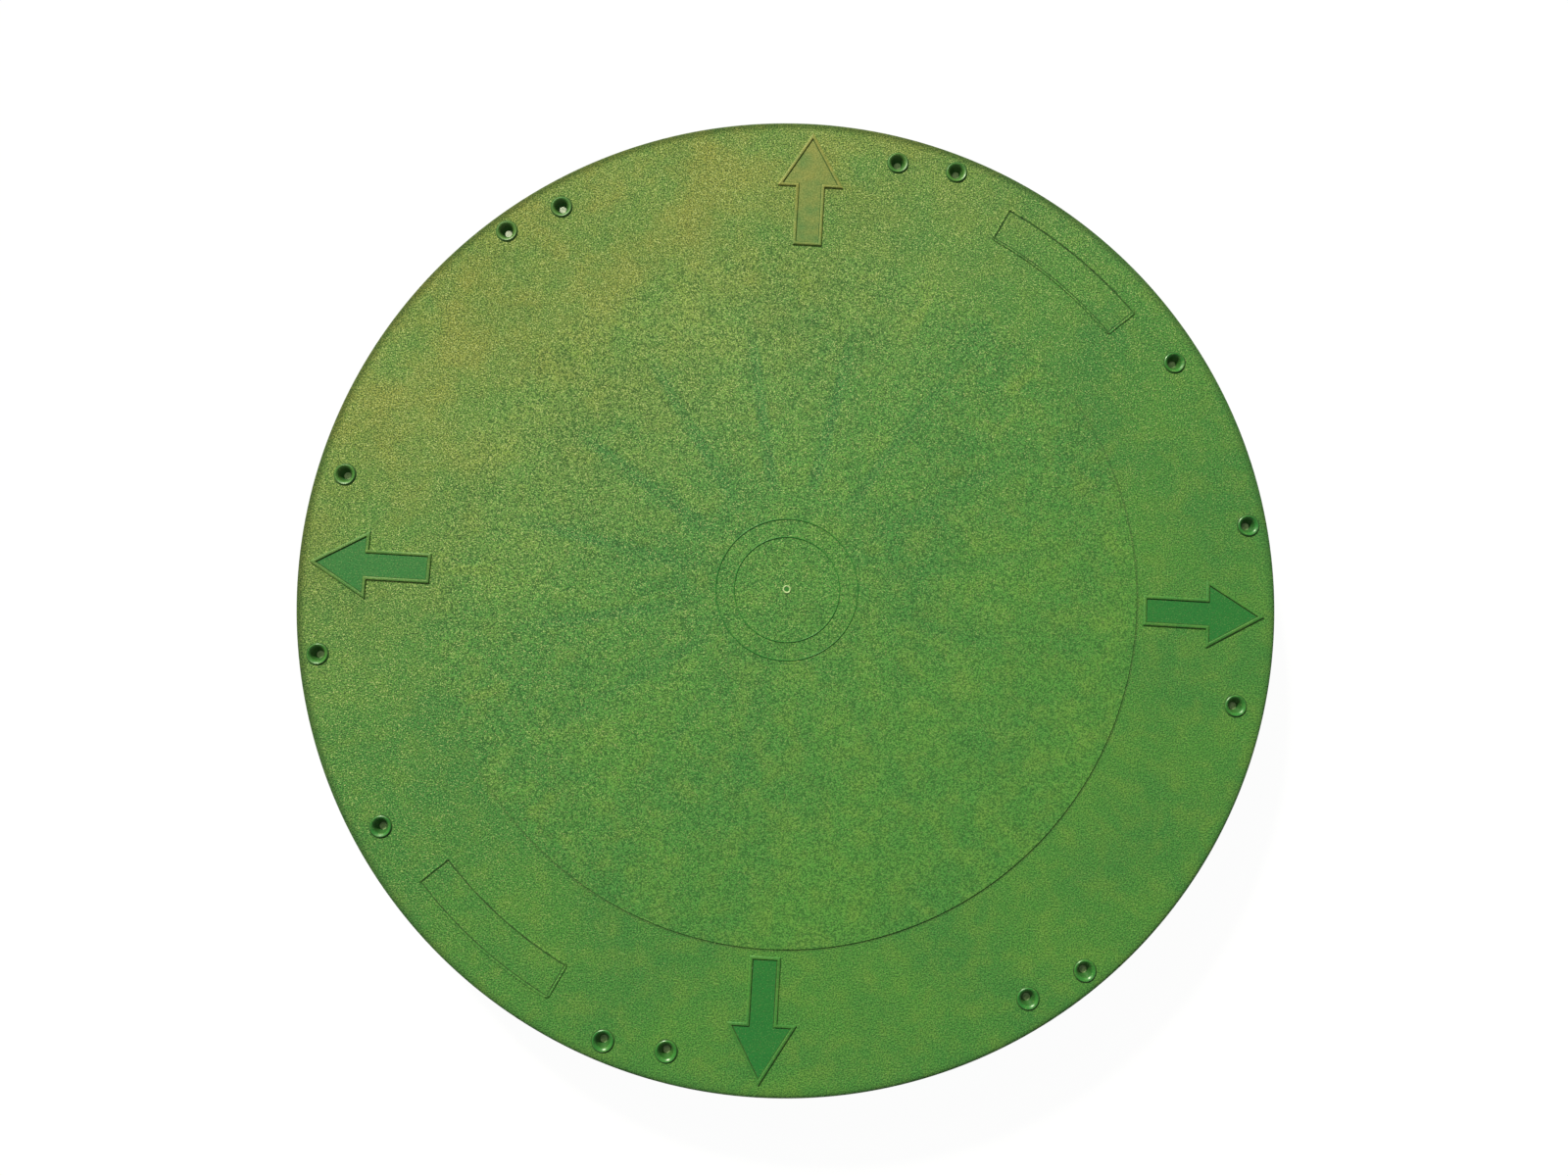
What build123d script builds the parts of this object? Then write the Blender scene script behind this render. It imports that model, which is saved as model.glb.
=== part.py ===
from build123d import *
import math
import os

# Moulded polyethylene cover for a 24 inch septic tank riser, with its foam rim seal.
# Sizes are in millimetres. +Z is up and +Y is the way that the first arrow points.
# The origin is the middle of the circle that the skirt's lower edge stands on.

os.makedirs("parts", exist_ok=True)

# The riser that the cover closes, and the room round its rim
riser_outer_diameter = 644.0
riser_inner_diameter = 595.0
rim_clearance = 3.0

# Skin and skirt
cover_height = 50.0
skin_thickness = 5.0
skirt_root_wall = 5.0
skirt_edge_wall = 4.0
skirt_draft = 1.0
top_edge_chamfer = 2.0

# Locating ring that goes down inside the riser
locating_root_wall = 4.0
locating_edge_wall = 3.0
locating_ring_draft = 0.6
locating_ring_lift = 8.0

# Landing ring and webs, which rest on the riser's rim
landing_depth = 5.0
landing_wall = 2.0
landing_web_thickness = 2.5
landing_web_count = 16

# Rim seal
seal_width = 6.5
seal_proud = 2.0
seal_side_gap = 0.3

# Stiffening ribs under the skin
rib_thickness = 3.2
rib_draft = 0.8
rib_height = 30.0
rib_count = 16
rib_first_angle = 11.25
ring_rib_radius = 236.0
hub_ring_radius = 58.5
short_rib_start_radius = 199.0
short_rib_run_out = 26.0

# Screw recesses: a tapered cup with a thin floor that the screw is driven through
eight_screw_inset = 12.3
eight_screw_first_angle = 11.25
six_screw_inset = 5.7
six_screw_first_angle = 18.75
recess_mouth_diameter = 11.3
recess_pilot_diameter = 5.0
recess_depth = 4.3
recess_pilot_depth = 0.9
recess_wall = 2.6

# Raised middle of the top and its two circles
plateau_rise = 0.5
plateau_edge_slope = 0.3
roundel_outer_radius = 47.8
roundel_inner_radius = 35.5
roundel_line_width = 0.9
roundel_line_height = 0.35

# Raised arrows
arrow_count = 4
arrow_tip_inset = 8.2
arrow_base_gap = 4.5
arrow_shaft_width = 20.0
arrow_head_width = 45.5
arrow_head_length = 39.0
arrow_bead_width = 2.0
arrow_bead_height = 0.9
arrow_pad_height = 0.2
arrow_bead_chamfer = 0.35

# Curved frames
frame_count = 2
frame_first_angle = 37.5
frame_outer_inset = 21.0
frame_depth = 26.0
frame_span = 21.4
frame_corner_radius = 2.0
frame_bead_width = 1.5
frame_bead_height = 0.45

# Values that follow from the sizes above
sink = 0.6
skirt_inner_radius = riser_outer_diameter / 2 + rim_clearance
cover_radius = skirt_inner_radius + skirt_root_wall
skirt_foot_radius = cover_radius + cover_height * math.tan(math.radians(skirt_draft))
skin_underside = cover_height - skin_thickness
locating_outer_radius = riser_inner_diameter / 2 - rim_clearance
locating_inner_radius = locating_outer_radius - locating_root_wall
locating_height = skin_underside - locating_ring_lift
locating_foot_radius = locating_outer_radius - locating_height * math.tan(math.radians(locating_ring_draft))
seal_inner_radius = locating_outer_radius + seal_side_gap
seal_outer_radius = seal_inner_radius + seal_width
landing_inner_radius = seal_outer_radius + seal_side_gap
landing_outer_radius = landing_inner_radius + landing_wall
landing_level = skin_underside - landing_depth
eight_screw_radius = riser_outer_diameter / 2 - eight_screw_inset
six_screw_radius = riser_outer_diameter / 2 - six_screw_inset
recess_mouth_radius = recess_mouth_diameter / 2
recess_pilot_radius = recess_pilot_diameter / 2
recess_boss_radius = recess_mouth_radius + recess_wall
recess_cone_depth = recess_depth - recess_pilot_depth
plateau_level = cover_height + plateau_rise
arrow_tip_radius = cover_radius - arrow_tip_inset
arrow_base_radius = ring_rib_radius + arrow_base_gap
arrow_neck_radius = arrow_tip_radius - arrow_head_length
frame_outer_radius = cover_radius - frame_outer_inset
frame_inner_radius = frame_outer_radius - frame_depth


def clockwise(angle):
    """Turns an angle that is counted clockwise from +Y into one counted from +X."""
    return 90.0 - angle


# One screw recess: the tapered cup that is taken out of the skin, with its blind pilot
with BuildPart() as screw_cup:
    with BuildSketch(Plane.XZ):
        with BuildLine():
            Polyline(
                (0, -recess_depth),
                (recess_pilot_radius, -recess_depth),
                (recess_pilot_radius, -recess_cone_depth),
                (recess_mouth_radius, 0),
                (recess_mouth_radius, sink),
                (0, sink),
                close=True,
            )
        make_face()
    revolve(axis=Axis.Z)

# One raised arrow: a bead along its outline and a smooth pad inside, pointing along +Y
with BuildPart() as arrow:
    with BuildSketch(Plane.XY.offset(-sink)) as arrow_outline:
        with BuildLine():
            half_arrow = Polyline(
                (0, arrow_base_radius),
                (arrow_shaft_width / 2, arrow_base_radius),
                (arrow_shaft_width / 2, arrow_neck_radius),
                (arrow_head_width / 2, arrow_neck_radius),
                (0, arrow_tip_radius),
            )
            mirror(half_arrow, about=Plane.YZ)
        make_face()
    extrude(amount=sink + arrow_pad_height)
    with BuildSketch(Plane.XY.offset(-sink)) as arrow_bead:
        add(arrow_outline.sketch_local)
        offset(amount=-arrow_bead_width, kind=Kind.INTERSECTION, mode=Mode.SUBTRACT)
    extrude(amount=sink + arrow_bead_height)
    chamfer(arrow.edges().group_by(Axis.Z)[-1], arrow_bead_chamfer)

# One curved frame round its middle on +Y, a low bead along the outline of a sector
frame_middle_radius = (frame_outer_radius + frame_inner_radius) / 2
frame_start = 90 - frame_span / 2
with BuildPart() as curved_frame:
    with BuildSketch(Plane.XY.offset(-sink)) as frame_outline:
        with BuildLine():
            outer_arc = CenterArc((0, 0), frame_outer_radius, frame_start, frame_span)
            inner_arc = CenterArc((0, 0), frame_inner_radius, frame_start, frame_span)
            Line(outer_arc @ 0, inner_arc @ 0)
            Line(outer_arc @ 1, inner_arc @ 1)
        make_face()
        fillet(frame_outline.vertices(), frame_corner_radius)
        offset(frame_outline.sketch_local, amount=-frame_bead_width, mode=Mode.SUBTRACT)
    extrude(amount=sink + frame_bead_height)

# One long rib, from the hub ring to the locating ring, hanging from the skin along +X
locating_middle_radius = locating_outer_radius - locating_root_wall / 2
with BuildPart() as long_rib:
    with BuildSketch(Plane((0, 0, skin_underside + sink), z_dir=(0, 0, -1))):
        with Locations(((hub_ring_radius + locating_middle_radius) / 2, 0)):
            Rectangle(locating_middle_radius - hub_ring_radius, rib_thickness)
    extrude(amount=rib_height + sink, taper=rib_draft)

# One short rib between two long ones, which rises from nothing to full height
with BuildPart() as short_rib:
    with BuildSketch(Plane.XZ):
        with BuildLine():
            Polyline(
                (short_rib_start_radius, skin_underside + sink),
                (short_rib_start_radius, skin_underside),
                (short_rib_start_radius + short_rib_run_out, skin_underside - rib_height),
                (locating_middle_radius, skin_underside - rib_height),
                (locating_middle_radius, skin_underside + sink),
                close=True,
            )
        make_face()
    extrude(amount=rib_thickness / 2, both=True)

# One web of the riser channel, from the landing ring to the skirt
with BuildPart() as landing_web:
    with BuildSketch(Plane.XY.offset(landing_level)):
        web_start = (landing_inner_radius + landing_outer_radius) / 2
        web_end = skirt_inner_radius + skirt_root_wall / 2
        with Locations(((web_start + web_end) / 2, 0)):
            Rectangle(web_end - web_start, landing_web_thickness)
    extrude(amount=landing_depth + sink)

with BuildPart() as lid:
    # Skin and skirt in one turned section, with its top edge broken
    with BuildSketch(Plane.XZ):
        with BuildLine():
            Polyline(
                (0, skin_underside),
                (0, cover_height),
                (cover_radius - top_edge_chamfer, cover_height),
                (cover_radius, cover_height - top_edge_chamfer),
                (skirt_foot_radius, 0),
                (skirt_foot_radius - skirt_edge_wall, 0),
                (skirt_inner_radius, skin_underside),
                close=True,
            )
        make_face()
    revolve(axis=Axis.Z)

    # Raised middle of the top, whose edge stands over the ring rib
    with BuildSketch(Plane.XZ):
        with BuildLine():
            Polyline(
                (0, cover_height - sink),
                (0, plateau_level),
                (ring_rib_radius - plateau_edge_slope, plateau_level),
                (ring_rib_radius, cover_height),
                (ring_rib_radius, cover_height - sink),
                close=True,
            )
        make_face()
    revolve(axis=Axis.Z)

    # Locating ring, thinner towards its foot
    with BuildSketch(Plane.XZ):
        with BuildLine():
            Polyline(
                (locating_inner_radius, skin_underside + sink),
                (locating_outer_radius, skin_underside + sink),
                (locating_outer_radius, skin_underside),
                (locating_foot_radius, locating_ring_lift),
                (locating_foot_radius - locating_edge_wall, locating_ring_lift),
                (locating_inner_radius, skin_underside),
                close=True,
            )
        make_face()
    revolve(axis=Axis.Z)

    # Landing ring, which is also the outer wall of the seal's groove, with its webs
    with BuildSketch(Plane.XY.offset(landing_level)):
        Circle(landing_outer_radius)
        Circle(landing_inner_radius, mode=Mode.SUBTRACT)
    extrude(amount=landing_depth + sink)
    with PolarLocations(0, landing_web_count):
        add(landing_web.part)

    # Hub ring, ring rib and radial ribs
    with BuildSketch(Plane((0, 0, skin_underside + sink), z_dir=(0, 0, -1))):
        for ring_radius in (ring_rib_radius, hub_ring_radius):
            Circle(ring_radius + rib_thickness / 2)
            Circle(ring_radius - rib_thickness / 2, mode=Mode.SUBTRACT)
    extrude(amount=rib_height + sink)
    with PolarLocations(0, rib_count, start_angle=clockwise(rib_first_angle)):
        add(long_rib.part)
    with PolarLocations(0, rib_count, start_angle=clockwise(rib_first_angle + 180 / rib_count)):
        add(short_rib.part)

    # Bosses and tapered cups of the two screw circles
    for screw_radius, screw_count, first_angle in (
        (eight_screw_radius, 8, eight_screw_first_angle),
        (six_screw_radius, 6, six_screw_first_angle),
    ):
        with BuildSketch(Plane.XY.offset(landing_level)):
            with PolarLocations(screw_radius, screw_count, start_angle=clockwise(first_angle)):
                Circle(recess_boss_radius)
        extrude(amount=landing_depth + sink)
        with Locations(Plane.XY.offset(cover_height)):
            with PolarLocations(screw_radius, screw_count, start_angle=clockwise(first_angle)):
                add(screw_cup.part, mode=Mode.SUBTRACT)

    # Groove of the rim seal, open downwards
    with BuildSketch(Plane.XY.offset(landing_level - sink)):
        Circle(landing_inner_radius)
        Circle(locating_outer_radius, mode=Mode.SUBTRACT)
    extrude(amount=landing_depth + sink, mode=Mode.SUBTRACT)

    # Arrows and curved frames on the outer band
    with Locations(Plane.XY.offset(cover_height)):
        with PolarLocations(0, arrow_count):
            add(arrow.part)
        with PolarLocations(0, frame_count, start_angle=-frame_first_angle):
            add(curved_frame.part)

    # The roundel's two circles in the middle
    with BuildSketch(Plane.XY.offset(plateau_level - sink)):
        for line_radius in (roundel_outer_radius, roundel_inner_radius):
            Circle(line_radius + roundel_line_width / 2)
            Circle(line_radius - roundel_line_width / 2, mode=Mode.SUBTRACT)
    extrude(amount=sink + roundel_line_height)
lid.part.label = "lid"
export_step(lid.part, "parts/lid.step")

# Foam seal in the groove between the locating ring and the landing ring
with BuildPart() as rim_gasket:
    with BuildSketch(Plane.XY.offset(landing_level - seal_proud)):
        Circle(seal_outer_radius)
        Circle(seal_inner_radius, mode=Mode.SUBTRACT)
    extrude(amount=landing_depth + seal_proud)
rim_gasket.part.label = "rim_gasket"
export_step(rim_gasket.part, "parts/rim_gasket.step")
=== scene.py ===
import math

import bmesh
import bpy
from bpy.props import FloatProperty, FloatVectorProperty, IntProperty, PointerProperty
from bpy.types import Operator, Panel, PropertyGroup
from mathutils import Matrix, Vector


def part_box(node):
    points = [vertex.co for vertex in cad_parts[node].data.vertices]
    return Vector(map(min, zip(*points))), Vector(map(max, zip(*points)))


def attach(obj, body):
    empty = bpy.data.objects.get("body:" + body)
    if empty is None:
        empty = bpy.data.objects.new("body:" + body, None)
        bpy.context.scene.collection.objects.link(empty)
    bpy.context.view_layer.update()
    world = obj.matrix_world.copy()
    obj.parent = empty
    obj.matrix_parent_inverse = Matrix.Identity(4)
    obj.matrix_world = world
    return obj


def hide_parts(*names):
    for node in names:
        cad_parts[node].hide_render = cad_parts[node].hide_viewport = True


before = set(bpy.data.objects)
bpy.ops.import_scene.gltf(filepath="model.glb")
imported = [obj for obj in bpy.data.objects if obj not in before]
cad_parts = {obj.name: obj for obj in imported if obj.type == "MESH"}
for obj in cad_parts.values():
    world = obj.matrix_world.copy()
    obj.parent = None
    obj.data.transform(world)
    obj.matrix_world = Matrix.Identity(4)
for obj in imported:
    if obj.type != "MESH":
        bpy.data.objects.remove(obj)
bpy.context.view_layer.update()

bl_info = {
    "name": "Septic riser cover",
    "version": (1, 0, 0),
    "blender": (4, 5, 0),
    "location": "View3D > Sidebar > Riser Cover",
    "description": "Dresses the packed septic tank riser cover with its moulded detail, materials and studio",
    "category": "Object",
}

MM = 0.001
LID_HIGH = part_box("lid")[1]
SEAL_LOW, SEAL_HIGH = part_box("rim_gasket")

# Steps round large rings, ring ribs, the roundel's circles and small turned pieces, and along a frame
TURNED_STEPS = 288
RIB_RING_STEPS = 192
CIRCLE_STEPS = 144
SMALL_STEPS = 48
FRAME_STEPS = 24

# Rounded corners and edges: the largest step of an arc, the share of the rounding at which a holding point
# stands beside it, and the steps of a bevel
ARC_STEP = math.radians(15)
HOLDING = 0.35
BEVEL_SEGMENTS = 3
BEAD_ROUNDING = 0.4 * MM
RIB_ROUNDING = 0.7 * MM
WEB_ROUNDING = 0.4 * MM
FOOT_ROUNDING = 1.2 * MM
SMOOTH_ANGLE = math.radians(35)

# Points this close are merged, and heights or places this close are the same
MERGED = 2e-6
SAME = 1e-6

# How deep a raised piece is sunk into the skin, and how far the strip of painted shade at its foot stands
# above it
SINK = 0.6 * MM
PROUD = 0.06 * MM
ARROW_STRIP = 0.5 * MM
FRAME_STRIP = 0.8 * MM

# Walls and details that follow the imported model, drafts in degrees
RECESS_WALL = 2.6 * MM
LINE_HEIGHT = 0.38 * MM
LOCATING_ROOT_WALL = 4 * MM
LOCATING_FOOT_WALL = 3 * MM
LOCATING_DRAW_IN = 0.4 * MM
LANDING_WALL = 2 * MM
SHORT_RIB_START = 199 * MM
SHORT_RIB_RUN_OUT = 26 * MM
WEB_THICKNESS = 2.5 * MM
RIB_DRAFT = 0.8
WEB_DRAFT = 0.5

# Holes in the skin for the recesses, and how far their middles lie below the top
HOLE_RADIUS = 6.9 * MM
HOLE_DEPTH = 12 * MM
HOLE_DROP = 3 * MM

# Millimetres between the patches of each pattern. The mould's real grains are too fine to show in a render,
# so grains and the pits between them are drawn coarser.
CLOUDS_APART = 70
SHEEN_PATCHES_APART = 45
PATCHES_APART = 16
GRAINS_APART = 1.0
PITS_APART = 0.75
CELLS_APART = 0.9

# Refractive indices
PLASTIC_IOR = 1.5
FOAM_IOR = 1.45

# Radii at which the sink marks over the long ribs, with their painted shade, and the painted highlights where
# the short ones run out, fade in and out
RAY_FADES = (52 * MM, 80 * MM, 150 * MM, 205 * MM)
RUN_OUT_FADES = (190 * MM, 212 * MM, 220 * MM, 234 * MM)

# Lamps: name, kind, place, width or angle, strength and tint. Then the floor and the light of the room.
LAMPS = (
    ("window_lamp", "AREA", (-0.56, 0.845, 1.30), 0.34, 2.4, (0.98, 1.0, 0.72)),
    ("raking_lamp", "SUN", (-1.0, 1.75, 1.25), math.radians(6), 4.6, (1.0, 1.0, 0.80)),
)
WINDOW_FLATNESS = 0.6
FLOOR_SIZE = 12
PAPER = (0.8, 0.8, 0.8, 1)
ROOM = (0.96, 1.0, 0.94, 1)
ROOM_STRENGTH = 0.15

# The camera: place in metres, turn in degrees and lens in millimetres
CAMERA_PLACE = (-0.00211, -0.05706, 0.70581)
CAMERA_TURN = (5.0330, -0.3111, 3.3440)
CAMERA_LENS = 22.447


def linear(hex_code):
    """Turns an sRGB hex colour into the linear colour that Blender's sockets take."""
    parts = [int(hex_code[start:start + 2], 16) / 255 for start in (0, 2, 4)]
    lit = (part / 12.92 if part <= 0.04045 else ((part + 0.055) / 1.055) ** 2.4 for part in parts)
    return (*lit, 1.0)


def size(name, millimetres, description):
    """A length that a user may change, kept in metres."""
    return FloatProperty(
        name=name, description=description, default=millimetres * MM, unit="LENGTH", precision=5
    )


def turn(name, degrees, description):
    """An angle that a user may change."""
    return FloatProperty(name=name, description=description, default=math.radians(degrees), subtype="ANGLE")


def colour(name, hex_code, description):
    """A colour that a user may change, written as sRGB hex and kept linear."""
    return FloatVectorProperty(
        name=name, description=description, default=linear(hex_code),
        size=4, subtype="COLOR", min=0.0, max=1.0,
    )


class CoverSizes(PropertyGroup):
    """Sizes of the cover. Lips, beads and roundings follow the photograph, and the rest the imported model."""

    top_level: size("Top level", 50, "Height of the outer band of the top above the skirt's foot")
    skin_thickness: size("Skin thickness", 5, "Thickness of the top")
    cover_radius: size("Cover radius", 330, "Outer radius at the top edge")
    skirt_foot_radius: FloatProperty(
        name="Skirt foot radius", description="Outer radius at the skirt's foot",
        default=LID_HIGH[0], unit="LENGTH",
    )
    skirt_inner_radius: size("Skirt inner radius", 325, "Inner radius of the skirt")
    skirt_foot_wall: size("Skirt foot wall", 4, "Thickness of the skirt at its foot")
    top_edge_radius: size("Top edge radius", 3, "Rounding of the edge between top and skirt")
    plateau_radius: size("Plateau radius", 236, "Radius of the raised middle of the top")
    plateau_rise: size("Plateau rise", 0.5, "Height of the raised middle above the outer band")
    eight_screw_radius: size("Eight screw radius", 309.7, "Radius of the circle of eight recesses")
    eight_screw_angle: turn("Eight screw angle", 11.25, "First of the eight, clockwise from the first arrow")
    six_screw_radius: size("Six screw radius", 316.3, "Radius of the circle of six recesses")
    six_screw_angle: turn("Six screw angle", 18.75, "First of the six, clockwise from the first arrow")
    recess_mouth_radius: size("Recess mouth radius", 5.65, "Radius of a screw recess at the top")
    recess_floor_radius: size("Recess floor radius", 2.5, "Radius of the thin floor under the screw")
    recess_depth: size("Recess depth", 4.3, "Depth of a screw recess")
    lip_crest_radius: size("Lip crest radius", 6.45, "Radius of the crest of the raised lip round a recess")
    lip_width: size("Lip width", 2.0, "Width of the raised lip round a recess")
    lip_height: size("Lip height", 0.85, "Height of the raised lip round a recess")
    arrow_tip_radius: size("Arrow tip radius", 321.8, "Distance of an arrow's tip from the middle")
    arrow_base_radius: size("Arrow base radius", 240.5, "Distance of an arrow's base from the middle")
    arrow_shaft_width: size("Arrow shaft width", 20, "Width of an arrow's shaft")
    arrow_head_width: size("Arrow head width", 45.5, "Width of an arrow's head")
    arrow_head_length: size("Arrow head length", 39, "Length of an arrow's head")
    arrow_bead_width: size("Arrow bead width", 2.0, "Width of the bead along an arrow's outline")
    arrow_bead_height: size("Arrow bead height", 0.82, "Height of the bead along an arrow's outline")
    arrow_pad_height: size("Arrow pad height", 0.2, "Height of the smooth pad inside an arrow")
    frame_outer_radius: size("Frame outer radius", 309, "Outer radius of a curved frame")
    frame_depth: size("Frame depth", 26, "Depth of a curved frame towards the middle")
    frame_span: turn("Frame span", 21.4, "Angle that a curved frame takes up")
    frame_angle: turn("Frame angle", 37.5, "Middle of the first curved frame, clockwise from the first arrow")
    frame_corner_radius: size("Frame corner radius", 2.6, "Radius of a frame's corners outside")
    frame_bead_width: size("Frame bead width", 1.5, "Width of a curved frame's bead")
    frame_bead_height: size("Frame bead height", 0.45, "Height of a curved frame's bead")
    roundel_outer_radius: size("Roundel outer radius", 47.8, "Radius of the outer circle in the middle")
    roundel_inner_radius: size("Roundel inner radius", 35.5, "Radius of the inner circle in the middle")
    roundel_line_width: size("Roundel line width", 0.9, "Width of the two circles' lines")
    gate_radius: size("Gate radius", 2.7, "Radius of the mark that the moulding gate left")
    locating_outer_radius: size("Locating ring radius", 294.5, "Outer radius of the ring inside the riser")
    locating_foot_level: size("Locating ring foot", 8, "Height of the locating ring's foot")
    landing_inner_radius: size("Landing ring radius", 301.6, "Inner radius of the ring on the riser's rim")
    landing_level: size("Landing level", 40, "Height of the faces that rest on the riser's rim")
    ring_rib_radius: size("Ring rib radius", 236, "Radius of the large ring rib")
    hub_ring_radius: size("Hub ring radius", 58.5, "Radius of the small ring rib")
    rib_thickness: size("Rib thickness", 3.2, "Thickness of the ribs at the skin")
    rib_foot_level: size("Rib foot level", 15, "Height of the ribs' lower edges")
    rib_count: IntProperty(name="Rib count", description="Long ribs under the top", default=16, min=3, max=64)
    rib_angle: turn("Rib angle", 11.25, "First long rib, clockwise from the first arrow")
    web_count: IntProperty(name="Web count", description="Webs in the channel", default=16, min=3, max=64)


class CoverColours(PropertyGroup):
    """Colours of the cover, as in the photograph."""

    plastic: colour("Plastic", "4A8836", "Green of the stippled moulded polyethylene")
    plastic_smooth: colour("Plastic, smooth", "1D7633", "Green of the polished, unstippled parts")
    # Also the painted shade of the sink marks over the long ribs
    plastic_deep: colour("Plastic, deep", "367A36", "Green in the cloudy patches and sink marks")
    # Also the painted highlights where the short ribs run out
    plastic_pale: colour("Plastic, pale", "6F923A", "Green of the rubbed, paler patches")
    # Painted glints: the tips of the grains are painted pale with this colour
    rubbed: colour("Rubbed tips", "DDE498", "Tips of the grains, rubbed pale")
    # Painted sheen: the side toward the lamps, and the arrow pad there, are painted yellower and paler with
    # this colour
    painted_sheen: colour("Dust", "989342", "Dust and sun-faded plastic on the weather side")
    # Painted shade: in pits between grains, in the recesses, in the plateau step's corner, along the top edge
    # and in strips at the foot of beads and lips
    painted_shade: colour("Grime", "24301A", "Dirt in pits and corners and along the top edge")
    # Also painted light: the recess floors are painted paler with this colour
    whitened: colour("Whitened plastic", "C9DFA6", "Stress-whitened plastic of the gate mark and thin floors")
    foam: colour("Foam", "2B2C2D", "Closed-cell foam of the rim seal")
    floor: colour("Floor", "FFFFFF", "Floor and background")


def skin_underside(sizes):
    """Height of the underside of the top."""
    return sizes.top_level - sizes.skin_thickness


# ---------------------------------------------------------------- modelling helpers


def deselect():
    """Leaves object mode clean, with nothing selected."""
    if bpy.context.object is not None and bpy.context.object.mode != "OBJECT":
        bpy.ops.object.mode_set(mode="OBJECT")
    bpy.ops.object.select_all(action="DESELECT")


def only(piece):
    """Makes one piece the only selected and active one."""
    deselect()
    piece.select_set(True)
    bpy.context.view_layer.objects.active = piece


def rounded(corners):
    """Points of a section whose corners, each (radius, height, rounding), are rounded by arcs.

    A holding point before and after each arc keeps the faces beside it flat when they are shaded.
    """
    points = []
    count = len(corners)
    for index, (across, up, rounding) in enumerate(corners):
        corner = Vector((across, up))
        if rounding <= 0:
            points.append(corner)
            continue
        before = Vector(corners[index - 1][:2]) - corner
        after = Vector(corners[(index + 1) % count][:2]) - corner
        half = before.angle(after) / 2
        reach = rounding / math.tan(half)
        start = corner + before.normalized() * reach
        bisector = (before.normalized() + after.normalized()).normalized()
        middle = corner + bisector * (rounding / math.sin(half))
        sweep = (corner + after.normalized() * reach - middle).angle_signed(start - middle)
        steps = max(2, round(abs(sweep) / ARC_STEP))
        points.append(start + before.normalized() * rounding * HOLDING)
        for step in range(steps + 1):
            arm = start - middle
            turned_by = sweep * step / steps
            points.append(middle + Vector((
                arm.x * math.cos(turned_by) - arm.y * math.sin(turned_by),
                arm.x * math.sin(turned_by) + arm.y * math.cos(turned_by),
            )))
        points.append(corner + after.normalized() * (reach + rounding * HOLDING))
    return points


def tidy_mesh():
    """In edit mode, merges doubles and points every face outwards."""
    bpy.ops.mesh.select_all(action="SELECT")
    bpy.ops.mesh.remove_doubles(threshold=MERGED)
    bpy.ops.mesh.normals_make_consistent(inside=False)


def turned(name, corners, steps=TURNED_STEPS, closed=True):
    """A piece turned about the cover's axis from a section, extruded point by point and spun."""
    points = rounded(corners)
    if closed:
        points.append(points[0])
    deselect()
    bpy.ops.mesh.primitive_plane_add(size=1, location=(0, 0, 0))
    piece = bpy.context.object
    piece.name = piece.data.name = name
    bpy.ops.object.mode_set(mode="EDIT")
    bpy.ops.mesh.select_mode(type="VERT")
    bpy.ops.mesh.merge(type="CENTER")
    here = Vector((0, 0))
    for index, point in enumerate(points):
        move = {"value": (point.x - here.x, 0, point.y - here.y)}
        if index == 0:
            bpy.ops.transform.translate(**move)
        else:
            bpy.ops.mesh.extrude_vertices_move(TRANSFORM_OT_translate=move)
        here = point
    bpy.ops.mesh.select_all(action="SELECT")
    bpy.ops.mesh.spin(steps=steps, angle=math.tau, center=(0, 0, 0), axis=(0, 0, 1))
    tidy_mesh()
    bpy.ops.object.mode_set(mode="OBJECT")
    return piece


def outline_plate(name, outline, level):
    """A flat face whose corners lie on an outline of (x, y) points, left open in edit mode and selected."""
    deselect()
    bpy.ops.mesh.primitive_circle_add(vertices=len(outline), radius=1, fill_type="NGON", location=(0, 0, 0))
    piece = bpy.context.object
    piece.name = piece.data.name = name
    bpy.ops.object.mode_set(mode="EDIT")
    mesh = bmesh.from_edit_mesh(piece.data)
    mesh.verts.ensure_lookup_table()
    for corner, (x, y) in zip(mesh.verts, outline):
        corner.co = (x, y, level)
    bmesh.update_edit_mesh(piece.data)
    bpy.ops.mesh.select_all(action="SELECT")
    bpy.ops.mesh.normals_make_consistent(inside=False)
    return piece


def raise_by(height):
    """In edit mode, extrudes the selected faces straight up."""
    bpy.ops.mesh.extrude_region_move(TRANSFORM_OT_translate={"value": (0, 0, height)})


def select_edges(piece, test):
    """In edit mode, selects the edges whose two ends pass a test, and returns how many."""
    bpy.ops.mesh.select_mode(type="EDGE")
    bpy.ops.mesh.select_all(action="DESELECT")
    mesh = bmesh.from_edit_mesh(piece.data)
    found = [edge for edge in mesh.edges if test(edge.verts[0].co, edge.verts[1].co)]
    for edge in found:
        edge.select = True
    mesh.select_flush_mode()
    bmesh.update_edit_mesh(piece.data)
    return len(found)


def round_edges(piece, test, width):
    """Rounds the edges whose two ends pass a test."""
    only(piece)
    bpy.ops.object.mode_set(mode="EDIT")
    if select_edges(piece, test):
        bpy.ops.mesh.bevel(offset=width, segments=BEVEL_SEGMENTS, profile=0.5, affect="EDGES")
    tidy_mesh()
    bpy.ops.object.mode_set(mode="OBJECT")


def paint_foot_shade(context, piece, level):
    """Gives the narrow flat faces at a level, the strip at the foot of a bead, their own painted shade."""
    piece.data.materials.append(kept(context, painted_foot_shade))
    for face in piece.data.polygons:
        face.material_index = int(abs(face.center.z - level) < SAME and len(face.vertices) == 4)


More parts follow.
